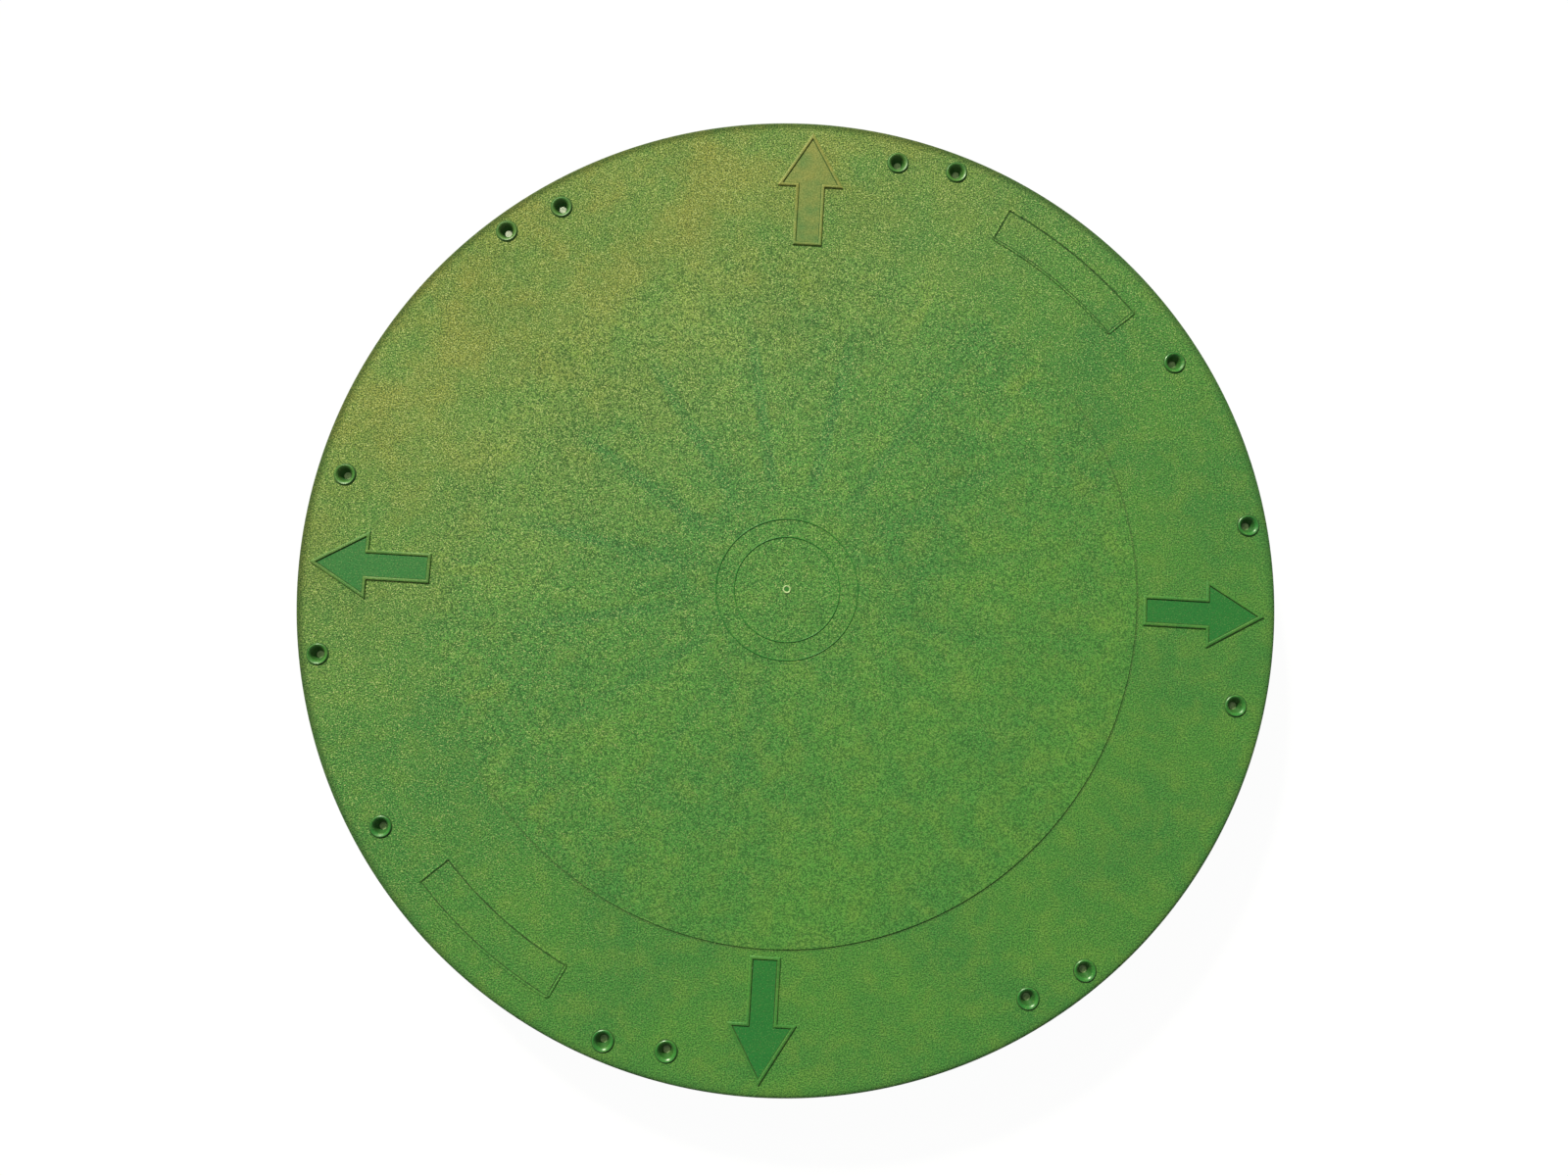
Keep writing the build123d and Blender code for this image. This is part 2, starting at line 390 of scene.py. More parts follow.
def bar(name, length, thickness, low, high, draft_degrees):
    """An upright bar along +X from 0, thinner towards its foot by its draft."""
    deselect()
    middle = (length / 2, 0, (low + high) / 2)
    bpy.ops.mesh.primitive_cube_add(size=1, location=middle, scale=(length, thickness, high - low))
    piece = bpy.context.object
    piece.name = piece.data.name = name
    bpy.ops.object.transform_apply(location=True, rotation=True, scale=True)
    bpy.ops.object.mode_set(mode="EDIT")
    select_edges(piece, lambda a, b: max(a.z, b.z) < low + SAME)
    narrow = 1 - 2 * (high - low) * math.tan(math.radians(draft_degrees)) / thickness
    bpy.ops.transform.resize(value=(1, narrow, 1), center_override=(length / 2, 0, low))
    bpy.ops.object.mode_set(mode="OBJECT")
    return piece


def along(a, b):
    """Whether an edge from a to b runs along a bar, not across it."""
    return abs(a.y - b.y) < SAME


def place(piece, move=(0, 0, 0), clockwise=0.0):
    """Moves a piece, turns it clockwise about the cover's axis and leaves its object at the origin."""
    only(piece)
    piece.location = Vector(move)
    bpy.ops.object.transform_apply(location=True, rotation=False, scale=False)
    piece.rotation_euler = (0, 0, -clockwise)
    bpy.ops.object.transform_apply(location=False, rotation=True, scale=False)
    return piece


def twin(piece, name):
    """A copy of a piece with a mesh of its own."""
    only(piece)
    bpy.ops.object.duplicate(linked=False)
    copy = bpy.context.object
    copy.name = copy.data.name = name
    return copy


def joined(pieces, name):
    """Joins pieces into one."""
    deselect()
    for piece in pieces:
        piece.select_set(True)
    bpy.context.view_layer.objects.active = pieces[0]
    bpy.ops.object.join()
    whole = bpy.context.object
    whole.name = whole.data.name = name
    return whole


def repeated(piece, name, count, first):
    """One piece made of copies of a piece at even angles round the cover's axis, the given one removed."""
    angles = [first + math.tau * index / count for index in range(count)]
    copies = [place(twin(piece, name + "_copy"), clockwise=angle) for angle in angles]
    bpy.data.objects.remove(piece)
    return joined(copies, name)


def finished(piece, material, stands_for=None):
    """Shades a piece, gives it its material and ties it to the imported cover."""
    only(piece)
    bpy.ops.object.shade_smooth_by_angle(angle=SMOOTH_ANGLE)
    piece.data.materials.clear()
    piece.data.materials.append(material)
    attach(piece, "root")
    if stands_for:
        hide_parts(stands_for)


def around(radius, angle):
    """The point at a radius and an angle clockwise from the first arrow."""
    return radius * math.sin(angle), radius * math.cos(angle)


def screw_places(sizes):
    """Radius and clockwise angle of each of the fourteen screw recesses."""
    circles = (
        (8, sizes.eight_screw_radius, sizes.eight_screw_angle),
        (6, sizes.six_screw_radius, sizes.six_screw_angle),
    )
    return [
        (radius, first + math.tau * index / count)
        for count, radius, first in circles
        for index in range(count)
    ]


# ---------------------------------------------------------------- materials


def node(tree, kind, inputs=None, **settings):
    """Adds a node with its settings. Each input is a value or another node's output to link."""
    made = tree.nodes.new(kind)
    for name, value in settings.items():
        setattr(made, name, value)
    for name, value in (inputs or {}).items():
        socket = made.inputs[name]
        if isinstance(value, bpy.types.NodeSocket):
            tree.links.new(value, socket)
        else:
            socket.default_value = value
    return made


def empty_material(name):
    """A new material whose node tree is empty."""
    material = bpy.data.materials.new(name)
    material.use_nodes = True
    material.node_tree.nodes.clear()
    return material


def calculated(tree, operation, *values):
    """The result of one sum on values or sockets."""
    return node(tree, "ShaderNodeMath", dict(enumerate(values)), operation=operation).outputs[0]


def product(tree, first, second):
    """Two values or sockets multiplied."""
    return calculated(tree, "MULTIPLY", first, second)


def fading(tree, value, start, end, low=0.0, high=1.0):
    """A smooth change from low to high as the value goes from start to end."""
    inputs = {"Value": value, "From Min": start, "From Max": end, "To Min": low, "To Max": high}
    return node(tree, "ShaderNodeMapRange", inputs, interpolation_type="SMOOTHSTEP").outputs["Result"]


def between(tree, value, fades):
    """1 in the middle of four values, fading to 0 from the second to the first and the third to the last."""
    first, second, third, last = fades
    return product(tree, fading(tree, value, first, second), fading(tree, value, last, third))


def clouds(tree, where, millimetres, detail=3.0, roughness=0.5):
    """Even noise from 0 to 1 whose patches are about so many millimetres apart."""
    inputs = {"Vector": where, "Scale": 1000 / millimetres, "Detail": detail, "Roughness": roughness}
    return node(tree, "ShaderNodeTexNoise", inputs).outputs["Fac"]


def blended(tree, amount, first, second, blend="MIX"):
    """Two colours mixed by an amount."""
    mix = node(tree, "ShaderNodeMix", data_type="RGBA", blend_type=blend)
    for socket, value in ((mix.inputs[0], amount), (mix.inputs[6], first), (mix.inputs[7], second)):
        if isinstance(value, bpy.types.NodeSocket):
            tree.links.new(value, socket)
        else:
            socket.default_value = value
    return mix.outputs[2]


def surfaced(material, tint, roughness, refraction, height=None, distance=0.0):
    """Ends a material with a surface, whose bump is a height times a distance."""
    tree = material.node_tree
    inputs = {"Base Color": tint, "Roughness": roughness, "IOR": refraction}
    if height is not None:
        bump = node(tree, "ShaderNodeBump", {"Height": height, "Distance": distance})
        inputs["Normal"] = bump.outputs["Normal"]
    surface = node(tree, "ShaderNodeBsdfPrincipled", inputs)
    node(tree, "ShaderNodeOutputMaterial", {"Surface": surface.outputs["BSDF"]})
    return material


def stippled_polyethylene(name, colours, sizes, stipple, pad_sheen):
    """Moulded high-density polyethylene from a spark-eroded mould.

    The mould leaves grains that break the gloss into speckles. The plastic shrinks over the ribs, so sink
    marks show on the top as a slight dip and as darker rays of painted shade, and the pigment is cloudy. Light
    and shade are painted on the grains too, with a painted sheen toward the lamps and painted shade in
    corners, recesses and along the top edge. A stipple below 1 stands for the polished parts of the mould, and
    a pad sheen for a painted sheen on them.
    """
    material = empty_material(name)
    tree = material.node_tree
    where = node(tree, "ShaderNodeTexCoord").outputs["Object"]
    spot = node(tree, "ShaderNodeSeparateXYZ", {"Vector": where}).outputs
    squares = [calculated(tree, "POWER", spot[axis], 2.0) for axis in "XY"]
    away = calculated(tree, "SQRT", calculated(tree, "ADD", *squares))
    angle = calculated(tree, "ARCTAN2", spot["X"], spot["Y"])
    half_count = sizes.rib_count / 2
    top = sizes.top_level

    def beside(first):
        """Distance in metres to the nearest of the rays that start at an angle."""
        turned_angle = product(tree, calculated(tree, "SUBTRACT", angle, first), half_count)
        swing = calculated(tree, "ABSOLUTE", calculated(tree, "SINE", turned_angle))
        return calculated(tree, "DIVIDE", product(tree, swing, away), half_count)

    cloudy = clouds(tree, where, CLOUDS_APART, detail=4.0, roughness=0.6)
    patchy = clouds(tree, where, PATCHES_APART, detail=3.0, roughness=0.6)
    # Sink marks over the long ribs, as a slight dip in the bump and as painted shade in the colour, broken up
    # by the cloudiness
    ray = fading(tree, beside(sizes.rib_angle), 6.5 * MM, 1.5 * MM)
    rays = product(tree, ray, between(tree, away, RAY_FADES))
    rays = product(tree, rays, fading(tree, patchy, 0.3, 0.62, 0.35, 1.0))
    # Painted highlights where the short ribs run out, just inside the plateau's edge
    run_out_highlight = fading(tree, beside(sizes.rib_angle + math.pi / sizes.rib_count), 5.5 * MM, 1.5 * MM)
    run_out_highlights = product(tree, run_out_highlight, between(tree, away, RUN_OUT_FADES))
    on_top = fading(tree, spot["Z"], top - 3 * MM, top - 1 * MM)

    tint = blended(tree, fading(tree, cloudy, 0.32, 0.68, 0.25, 0.88), colours.plastic_deep, colours.plastic)
    tint = blended(tree, fading(tree, patchy, 0.38, 0.75, 0.0, 0.36), tint, colours.plastic_pale)
    # Painted sheen, in patches, on the side toward the lamps; the sink marks' painted shade and the run-outs'
    # painted highlights are strongest on that side too
    toward_lamps = calculated(tree, "SUBTRACT", product(tree, spot["Y"], 0.75), product(tree, spot["X"], 0.55))
    sheen_patches = fading(tree, clouds(tree, where, SHEEN_PATCHES_APART, detail=4.0, roughness=0.7), 0.30, 0.70, 0.30, 1.0)
    sheen_amount = product(tree, sheen_patches, fading(tree, toward_lamps, 0.04, 0.28, 0.0, 0.56))
    tint = blended(tree, product(tree, sheen_amount, on_top), tint, colours.painted_sheen)
    rays = product(tree, rays, fading(tree, toward_lamps, -0.15, 0.08, 0.25, 0.85))
    tint = blended(tree, product(tree, rays, on_top), tint, colours.plastic_deep)
    run_out_highlights = product(tree, run_out_highlights, fading(tree, toward_lamps, -0.15, 0.20, 0.12, 0.60))
    tint = blended(tree, product(tree, run_out_highlights, on_top), tint, colours.plastic_pale)
    # Inside the roundel the top is rubbed clean
    clean = product(tree, fading(tree, away, 50 * MM, 44 * MM, 0.0, 0.30), on_top)
    tint = blended(tree, clean, tint, colours.plastic)
    if stipple < 1:
        # Polished parts of the mould give a deeper green, the arrows' pads most, and the recesses' walls get
        # painted shade
        deeper = 0.5
        if pad_sheen:
            pad = top + sizes.arrow_pad_height
            deeper = fading(tree, spot["Z"], pad + 0.05 * MM, pad + 0.3 * MM, 0.85, 0.15)
        tint = blended(tree, deeper, tint, colours.plastic_smooth)
        below_floor = top - sizes.recess_depth - 0.3 * MM
        inside = fading(tree, spot["Z"], below_floor - 0.1 * MM, below_floor, 0.0, 0.50)
        recess_shade = product(tree, fading(tree, spot["Z"], top + 0.3 * MM, top - 1.4 * MM), inside)
        tint = blended(tree, recess_shade, tint, colours.painted_shade)
    if pad_sheen:
        # A painted sheen, in patches, on the arrow that lies toward the lamps
        patches = calculated(tree, "ADD", spot["Y"], product(tree, patchy, 0.30))
        tint = blended(tree, fading(tree, patches, 0.28, 0.52, 0.0, pad_sheen), tint, colours.painted_sheen)
    # Painted shade in the corner of the plateau's step, most on the side away from the lamps, and along the
    # top edge, most on the side toward the lamps
    step = calculated(tree, "ABSOLUTE", calculated(tree, "SUBTRACT", away, sizes.plateau_radius + 0.5 * MM))
    away_from_lamps = fading(tree, toward_lamps, 0.10, -0.10, 0.10, 0.36)
    corner = product(tree, fading(tree, step, 1.1 * MM, 0.4 * MM), away_from_lamps)
    edge = fading(tree, away, sizes.cover_radius - 8 * MM, sizes.cover_radius - 1 * MM, 0.0, 0.68)
    edge = product(tree, edge, fading(tree, spot["Z"], top - 8 * MM, top - 2 * MM))
    edge = product(tree, edge, fading(tree, toward_lamps, -0.25, 0.20, 0.35, 1.0))
    painted_shade = calculated(tree, "MAXIMUM", edge, product(tree, corner, on_top))
    grains = clouds(tree, where, GRAINS_APART, detail=1.0, roughness=0.6)
    fine = clouds(tree, where, PITS_APART, detail=0.0)
    # Flanks of the grains that face the light look yellower, so the three channels differ
    spread = {"Red": (0.55, 0.85), "Green": (0.42, 0.52), "Blue": (0.45, 0.62)}
    flanks = {
        channel: fading(tree, grains, 0.37, 0.63, 1 - down * stipple, 1 + up * stipple)
        for channel, (down, up) in spread.items()
    }
    shade = node(tree, "ShaderNodeCombineColor", flanks).outputs["Color"]
    # The skirt was drawn out of the mould along its side, so its grains are smeared and faint; the grains'
    # painted light and shade is also fainter on the side away from the lamps
    drawn = fading(tree, spot["Z"], top - 24 * MM, top - 3 * MM, 0.3, 1.0)
    depth = product(tree, fading(tree, toward_lamps, -0.22, 0.15, 0.75, 1.0), drawn)
    tint = blended(tree, depth, tint, shade, blend="MULTIPLY")
    # Painted shade in the pits between the grains and painted glints on the tips of the highest ones, both
    # strongest toward the lamps, with no glints in the painted shade along the top edge
    unevenness = product(tree, on_top, fading(tree, toward_lamps, -0.22, 0.18, 0.12, 0.66 * stipple))
    pits = product(tree, fading(tree, fine, 0.36, 0.27), unevenness)
    tint = blended(tree, calculated(tree, "MAXIMUM", painted_shade, pits), tint, colours.painted_shade)
    clear = calculated(tree, "SUBTRACT", unevenness, edge)
    tip_glints = product(tree, fading(tree, fine, 0.66, 0.74), clear)
    tint = blended(tree, calculated(tree, "MAXIMUM", tip_glints, 0.0), tint, colours.rubbed)

    gloss = fading(tree, cloudy, 0.3, 0.7, 0.72, 0.64)
    for change in (
        fading(tree, grains, 0.35, 0.65, 0.08, -0.08),
        product(tree, edge, 0.4),
        fading(tree, toward_lamps, 0.05, 0.30, 0.0, 0.16),
    ):
        gloss = calculated(tree, "ADD", gloss, change)
    if stipple < 1:
        gloss = product(tree, gloss, 0.85 if pad_sheen else 0.55)
    height = calculated(
        tree, "ADD", product(tree, grains, 0.42 * stipple), product(tree, fine, 0.16 * stipple)
    )
    height = product(tree, height, depth)
    sunk = calculated(tree, "ADD", height, product(tree, rays, -0.12))
    return surfaced(material, tint, gloss, PLASTIC_IOR, sunk, 1.0 * MM)


def polished_polyethylene(name, colours):
    """The thin floor of a recess, pressed by a polished pin: glossy enough to mirror a lamp, and painted paler
    as painted light on a floor that lies mostly in shade.
    """
    material = empty_material(name)
    tree = material.node_tree
    where = node(tree, "ShaderNodeTexCoord").outputs["Object"]
    unevenness = clouds(tree, where, 1.5, detail=2.0)
    # Painted light: the floor is painted paler in patches
    tint = blended(tree, fading(tree, unevenness, 0.3, 0.7, 0.35, 0.80), colours.plastic, colours.whitened)
    return surfaced(material, tint, 0.14, PLASTIC_IOR, unevenness, 0.05 * MM)


def painted_foot_shade(name, colours):
    """Painted shade in the corner at the foot of a bead: matt, dark and uneven."""
    material = empty_material(name)
    tree = material.node_tree
    where = node(tree, "ShaderNodeTexCoord").outputs["Object"]
    shade_noise = clouds(tree, where, 4, detail=3.0)
    tint = blended(tree, fading(tree, shade_noise, 0.3, 0.7, 0.15, 0.55), colours.painted_shade, colours.plastic)
    return surfaced(material, tint, 0.88, PLASTIC_IOR)


def whitened_polyethylene(name, colours):
    """Polyethylene whitened by stress, as at a trimmed gate: dull, milky and slightly rough."""
    material = empty_material(name)
    tree = material.node_tree
    where = node(tree, "ShaderNodeTexCoord").outputs["Object"]
    torn = clouds(tree, where, 1.1, detail=3.0)
    tint = blended(tree, fading(tree, torn, 0.35, 0.7, 0.0, 0.5), colours.whitened, colours.plastic_pale)
    return surfaced(material, tint, 0.42, PLASTIC_IOR, torn, 0.2 * MM)


def skinned_foam(name, colours):
    """Closed-cell foam with a skin: matt, near black, with cells about 0.9 mm wide pressed into it."""
    material = empty_material(name)
    tree = material.node_tree
    where = node(tree, "ShaderNodeTexCoord").outputs["Object"]
    cells = node(tree, "ShaderNodeTexVoronoi", {"Vector": where, "Scale": 1000 / CELLS_APART})
    unevenness = clouds(tree, where, 14)
    shade = fading(tree, unevenness, 0.3, 0.7, 0.7, 1.25)
    grey = node(tree, "ShaderNodeCombineColor", dict.fromkeys(("Red", "Green", "Blue"), shade))
    tint = blended(tree, 1.0, colours.foam, grey.outputs["Color"], blend="MULTIPLY")
    return surfaced(material, tint, 0.82, FOAM_IOR, cells.outputs["Distance"], 0.25 * MM)


def white_paper(name, colours):
    """Seamless white paper: white to the camera, with the cover's soft shadow left on it."""
    material = empty_material(name)
    tree = material.node_tree
    path = node(tree, "ShaderNodeLightPath").outputs
    seen = calculated(tree, "MAXIMUM", path["Is Camera Ray"], calculated(
        tree, "MAXIMUM", path["Is Glossy Ray"], path["Is Transmission Ray"]
    ))
    paper = node(tree, "ShaderNodeBsdfDiffuse", {"Color": PAPER, "Roughness": 0.6}).outputs["BSDF"]
    glow = node(tree, "ShaderNodeEmission", {"Color": colours.floor, "Strength": 1.05}).outputs["Emission"]
    share = product(tree, seen, 0.92)
    lit = node(tree, "ShaderNodeMixShader", {0: share, 1: paper, 2: glow})
    node(tree, "ShaderNodeOutputMaterial", {"Surface": lit.outputs["Shader"]})
    return material


def kept(context, make):
    """A material named after the function that makes it, made once and used by all that ask for it."""
    name = make.__name__
    return bpy.data.materials.get(name) or make(name, context.scene.cover_colours)


def plastic(context, name="stippled_polyethylene", stipple=1.0, pad_sheen=0.0):
    """The stippled plastic of the skin, or the same plastic from another part of the mould."""
    colours, sizes = context.scene.cover_colours, context.scene.cover_sizes
    return bpy.data.materials.get(name) or stippled_polyethylene(name, colours, sizes, stipple, pad_sheen)


def smooth_plastic(context):
    """The plastic from a polished part of the mould, with hardly any stipple."""
    return plastic(context, "smooth_polyethylene", stipple=0.22)


def sheened_plastic(context):
    """The smooth plastic of the arrows, with a painted sheen in patches on the arrow toward the lamps."""
    return plastic(context, "sheened_polyethylene", stipple=0.30, pad_sheen=0.74)


# ---------------------------------------------------------------- operators


class COVER_OT_skin(Operator):
    """Top and skirt in one turned shell, with a hole for each screw recess"""

    bl_idname = "cover.skin"
    bl_label = "Skin and skirt"

    def execute(self, context):
        sizes = context.scene.cover_sizes
        under = skin_underside(sizes)
        raised = sizes.top_level + sizes.plateau_rise
        foot = sizes.skirt_foot_radius
        shell = turned("skin_and_skirt", [
            (0, raised, 0),
            (sizes.plateau_radius - 6 * MM, raised, 0),
            (sizes.plateau_radius - 0.3 * MM, raised, 0.12 * MM),
            (sizes.plateau_radius, sizes.top_level, 0),
            (sizes.plateau_radius + 2 * MM, sizes.top_level, 0),
            (sizes.cover_radius, sizes.top_level, sizes.top_edge_radius),
            (foot, 0, FOOT_ROUNDING),
            (foot - sizes.skirt_foot_wall, 0, FOOT_ROUNDING),
            (sizes.skirt_inner_radius, under, 2 * MM),
            (0, under, 0),
        ], closed=False)
        # The holes lie under the recesses' lips, which hide their edges
        cutters = []
        for radius, angle in screw_places(sizes):
            deselect()
            bpy.ops.mesh.primitive_cylinder_add(vertices=SMALL_STEPS, radius=HOLE_RADIUS, depth=HOLE_DEPTH)
            x, y = around(radius, angle)
            cutters.append(place(bpy.context.object, (x, y, sizes.top_level - HOLE_DROP)))
        cutter = joined(cutters, "recess_cutters")
        only(shell)
        cut = shell.modifiers.new("recesses", "BOOLEAN")
        cut.operation, cut.solver, cut.object = "DIFFERENCE", "EXACT", cutter
        bpy.ops.object.modifier_apply(modifier=cut.name)
        bpy.data.objects.remove(cutter)
        finished(shell, plastic(context), stands_for="lid")
        # The core of the mould is polished, so the stipple stays on the outside
        shell.data.materials.append(smooth_plastic(context))
        for face in shell.data.polygons:
            inward = face.normal.xy.dot(face.center.xy) < 0 or face.normal.z < -0.3
            face.material_index = int(inward and face.center.z < sizes.top_level - sizes.top_edge_radius)
        return {"FINISHED"}


class COVER_OT_screw_recesses(Operator):
    """Fourteen tapered cups with a rounded lip above, a thin floor and a boss below"""

    bl_idname = "cover.screw_recesses"
    bl_label = "Screw recesses"

    def execute(self, context):
        sizes = context.scene.cover_sizes
        top = sizes.top_level
        floor = top - sizes.recess_depth
        crown = top + sizes.lip_height
        crest = sizes.lip_crest_radius
        outer = crest + sizes.lip_width / 2
        strip = outer + 0.3 * MM
        foot = top + PROUD
        boss = sizes.recess_mouth_radius + RECESS_WALL
        root = skin_underside(sizes) + SINK
        boss_foot = sizes.landing_level + 0.02 * MM
        pattern = turned("screw_recess", [
            (0, floor, 0),
            (sizes.recess_floor_radius, floor, 0.2 * MM),
            (sizes.recess_floor_radius + 0.3 * MM, floor + 0.9 * MM, 0.5 * MM),
            (sizes.recess_mouth_radius - 0.75 * MM, top - 0.15 * MM, 0.5 * MM),
            (crest - 0.75 * MM, crown - 0.32 * MM, 0.3 * MM),
            (crest + 0.1 * MM, crown, 0.2 * MM),
            (outer - 0.35 * MM, foot + 0.4 * MM, 0.1 * MM),
            (outer, foot, 0),
            (strip, foot, 0),
            (strip, top - SINK, 0),
            (strip, root, 0),
            (boss, root, 0),
            (boss - 0.1 * MM, boss_foot, 0.5 * MM),
            (0, boss_foot, 0),
        ], steps=SMALL_STEPS, closed=False)
        # The floor gets the polished plastic, and the strip round the lip's foot gets painted shade
        extras = kept(context, polished_polyethylene), kept(context, painted_foot_shade)
        for index, (radius, angle) in enumerate(screw_places(sizes), 1):
            x, y = around(radius, angle)
            recess = place(twin(pattern, "screw_recess_%02d" % index), (x, y, 0))
            finished(recess, smooth_plastic(context))
            for material in extras:
                recess.data.materials.append(material)
            for face in recess.data.polygons:
                beside = math.hypot(face.center.x - x, face.center.y - y)
                if beside < sizes.recess_floor_radius - 0.1 * MM and abs(face.center.z - floor) < 0.1 * MM:
                    face.material_index = 1
                elif beside > outer - 0.35 * MM and face.center.z > foot - SAME:
                    face.material_index = 2
        bpy.data.objects.remove(pattern)
        return {"FINISHED"}


class COVER_OT_arrows(Operator):
    """Four arrows on the outer band: a rounded bead along the outline and a smooth pad inside"""

    bl_idname = "cover.arrows"
    bl_label = "Arrows"

    def execute(self, context):
        sizes = context.scene.cover_sizes
        tip, base = sizes.arrow_tip_radius, sizes.arrow_base_radius
        neck = tip - sizes.arrow_head_length
        shaft, head = sizes.arrow_shaft_width / 2, sizes.arrow_head_width / 2
        right = [(shaft, base), (shaft, neck), (head, neck)]
        outline = [(0, tip)] + [(-x, y) for x, y in reversed(right)] + right
        crown = sizes.top_level + sizes.arrow_bead_height
        pad = sizes.top_level + sizes.arrow_pad_height
        arrow = outline_plate("arrow", outline, sizes.top_level - SINK)
        raise_by(crown - sizes.top_level + SINK)
        bpy.ops.mesh.inset(thickness=sizes.arrow_bead_width, depth=0)
        raise_by(pad - crown)
        # A narrow strip inside the bead's foot, which gets painted shade
        bpy.ops.mesh.inset(thickness=ARROW_STRIP, depth=0)
        tidy_mesh()
        round_edges(arrow, lambda a, b: min(a.z, b.z) > crown - SAME, BEAD_ROUNDING)
        for index in range(4):
            copy = place(twin(arrow, "arrow_%d" % (index + 1)), clockwise=math.tau * index / 4)
            finished(copy, sheened_plastic(context))
            paint_foot_shade(context, copy, pad)
        bpy.data.objects.remove(arrow)
        return {"FINISHED"}


class COVER_OT_curved_frames(Operator):
    """Two low frames on the outer band, each a rounded bead along a sector with bare ground inside"""

    bl_idname = "cover.curved_frames"
    bl_label = "Curved frames"

    def execute(self, context):
        sizes = context.scene.cover_sizes
        outer = sizes.frame_outer_radius
        inner = outer - sizes.frame_depth
        half = sizes.frame_span / 2
        last = FRAME_STEPS
        sweep = [half - sizes.frame_span * step / last for step in range(last + 1)]
        # Out along the far side and back along the near one, with only the four ends rounded
        corners = [(*around(outer, angle), 0) for angle in sweep]
        corners += [(*around(inner, -angle), 0) for angle in sweep]
        for end in (0, last, last + 1, 2 * last + 1):
            corners[end] = (*corners[end][:2], sizes.frame_corner_radius)
        outline = [(point.x, point.y) for point in rounded(corners)]
        crown = sizes.top_level + sizes.frame_bead_height
        surround = outline_plate("curved_frame", outline, sizes.top_level - SINK)
        raise_by(crown - sizes.top_level + SINK)
        bpy.ops.mesh.inset(thickness=sizes.frame_bead_width, depth=0)
        ground = sizes.top_level + PROUD
        raise_by(ground - crown)
        # A narrow strip inside the bead's foot, which gets painted shade
        bpy.ops.mesh.inset(thickness=FRAME_STRIP, depth=0)
        tidy_mesh()
        round_edges(surround, lambda a, b: min(a.z, b.z) > crown - SAME, BEAD_ROUNDING)
        for index in range(2):
            angle = sizes.frame_angle + math.pi * index
            copy = place(twin(surround, "curved_frame_%d" % (index + 1)), clockwise=angle)
            finished(copy, plastic(context))
            paint_foot_shade(context, copy, ground)
        bpy.data.objects.remove(surround)
        return {"FINISHED"}


class COVER_OT_roundel(Operator):
    """Two thin raised circles in the middle and the whitened mark of the moulding gate"""

    bl_idname = "cover.roundel"
    bl_label = "Roundel and gate mark"

    def execute(self, context):
        sizes = context.scene.cover_sizes
        ground = sizes.top_level + sizes.plateau_rise
        crown = ground + LINE_HEIGHT
        half = sizes.roundel_line_width / 2
        for name, radius in (("outer", sizes.roundel_outer_radius), ("inner", sizes.roundel_inner_radius)):
            circle = turned("roundel_circle_" + name, [
                (radius - half, ground - SINK, 0),
                (radius - half + 0.1 * MM, crown, 0.22 * MM),
                (radius + half - 0.1 * MM, crown, 0.22 * MM),
                (radius + half, ground - SINK, 0),
            ], steps=CIRCLE_STEPS)
            finished(circle, smooth_plastic(context))
        gate = sizes.gate_radius
        mark = turned("gate_mark", [
            (0, ground + 0.08 * MM, 0),
            (gate - 0.95 * MM, ground + 0.08 * MM, 0.1 * MM),
            (gate - 0.75 * MM, crown, 0.14 * MM),
            (gate, crown, 0.16 * MM),
            (gate + 0.1 * MM, ground - SINK, 0),
            (0, ground - SINK, 0),
        ], steps=SMALL_STEPS, closed=False)
        finished(mark, smooth_plastic(context))
        mark.data.materials.append(kept(context, whitened_polyethylene))
        # Only the mark's rim and its very middle are whitened
        for face in mark.data.polygons:
            beside = math.hypot(*face.center.xy)
            face.material_index = int(beside > gate - 1.1 * MM or beside < 0.6 * MM)
        return {"FINISHED"}


